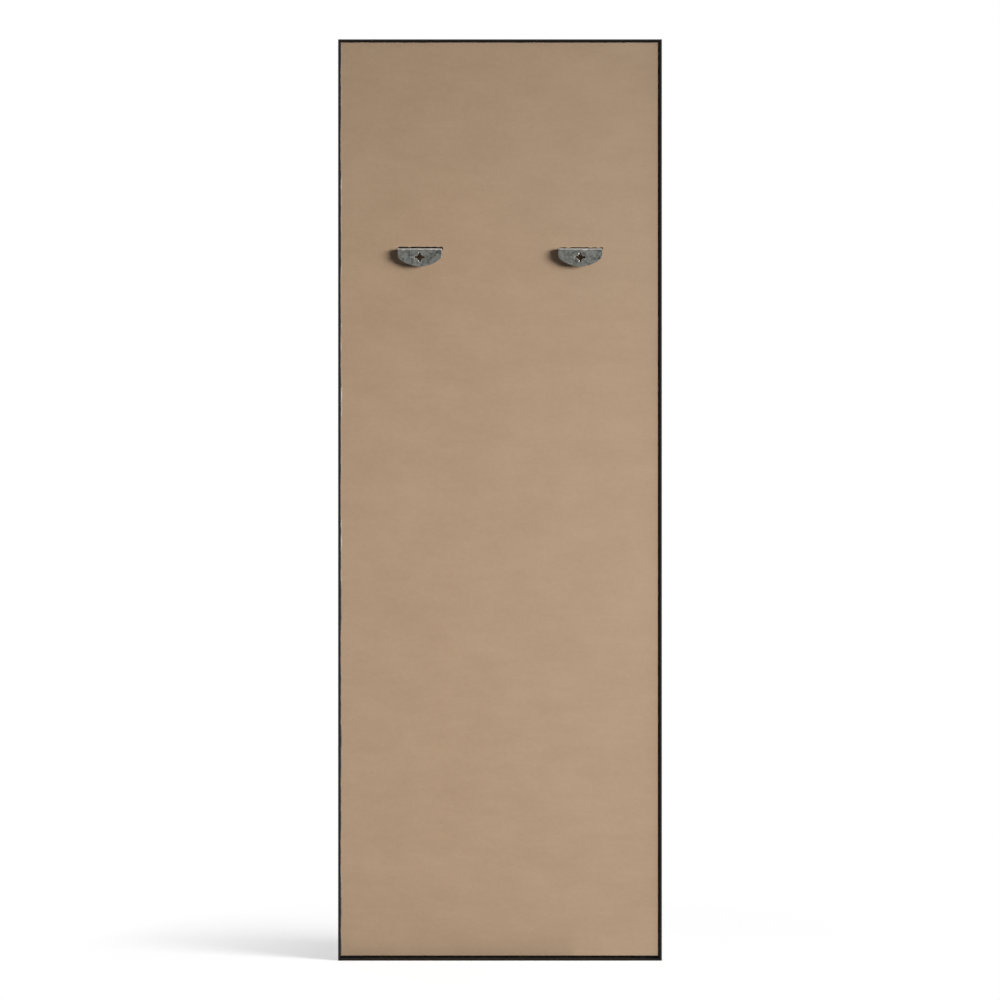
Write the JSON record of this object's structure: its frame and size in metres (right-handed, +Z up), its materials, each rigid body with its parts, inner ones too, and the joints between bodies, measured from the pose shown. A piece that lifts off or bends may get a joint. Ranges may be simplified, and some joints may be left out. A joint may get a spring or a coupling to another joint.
{
  "type": "leaner mirror",
  "caption": "Tall rectangular leaner mirror in a slim black metal frame, with a raw fibreboard back and half-moon steel hangers that stand off the board.",
  "frame": {"origin": "middle of the bottom rail's underside, halfway through the frame's depth, on the floor", "axes": "+X across the width, to the right as seen from the front; the glass faces -Y and the back board +Y; +Z up the height of the mirror"},
  "size_m": [0.61, 0.0335, 1.736],
  "materials": {
    "frame_black": "matte",
    "key_metal": "satin",
    "grub_black": "satin",
    "screw_steel": "satin",
    "hanger_zinc": "satin",
    "glazing_tape": "matte",
    "clear_glass": "gloss",
    "silver_coating": "polished",
    "safety_film": "satin",
    "spacer_card": "matte",
    "board_glue": "satin",
    "board_fibre": "matte"
  },
  "bodies": {
    "root": {"frame_rail_top": "frame_black", "frame_rail_bottom": "frame_black", "frame_rail_left": "frame_black", "frame_rail_right": "frame_black", "corner_key_top_left": "key_metal", "corner_key_top_right": "key_metal", "corner_key_bottom_left": "key_metal", "corner_key_bottom_right": "key_metal", "key_screws_top_left": "grub_black", "key_screws_top_right": "grub_black", "key_screws_bottom_left": "grub_black", "key_screws_bottom_right": "grub_black", "glazing_tape_top": "glazing_tape", "glazing_tape_bottom": "glazing_tape", "glazing_tape_left": "glazing_tape", "glazing_tape_right": "glazing_tape", "mirror_glass": "clear_glass", "mirror_coating": "silver_coating", "safety_film": "safety_film", "spacer_top": "spacer_card", "spacer_bottom": "spacer_card", "spacer_left": "spacer_card", "spacer_right": "spacer_card", "spacer_centre": "spacer_card", "board_glue_top": "board_glue", "board_glue_bottom": "board_glue", "board_glue_left": "board_glue", "board_glue_right": "board_glue", "back_board": "board_fibre", "hanger_left": "hanger_zinc", "hanger_anchor_left": "hanger_zinc", "hanger_screws_left": "screw_steel", "hanger_right": "hanger_zinc", "hanger_anchor_right": "hanger_zinc", "hanger_screws_right": "screw_steel"}
  },
  "joints": []
}
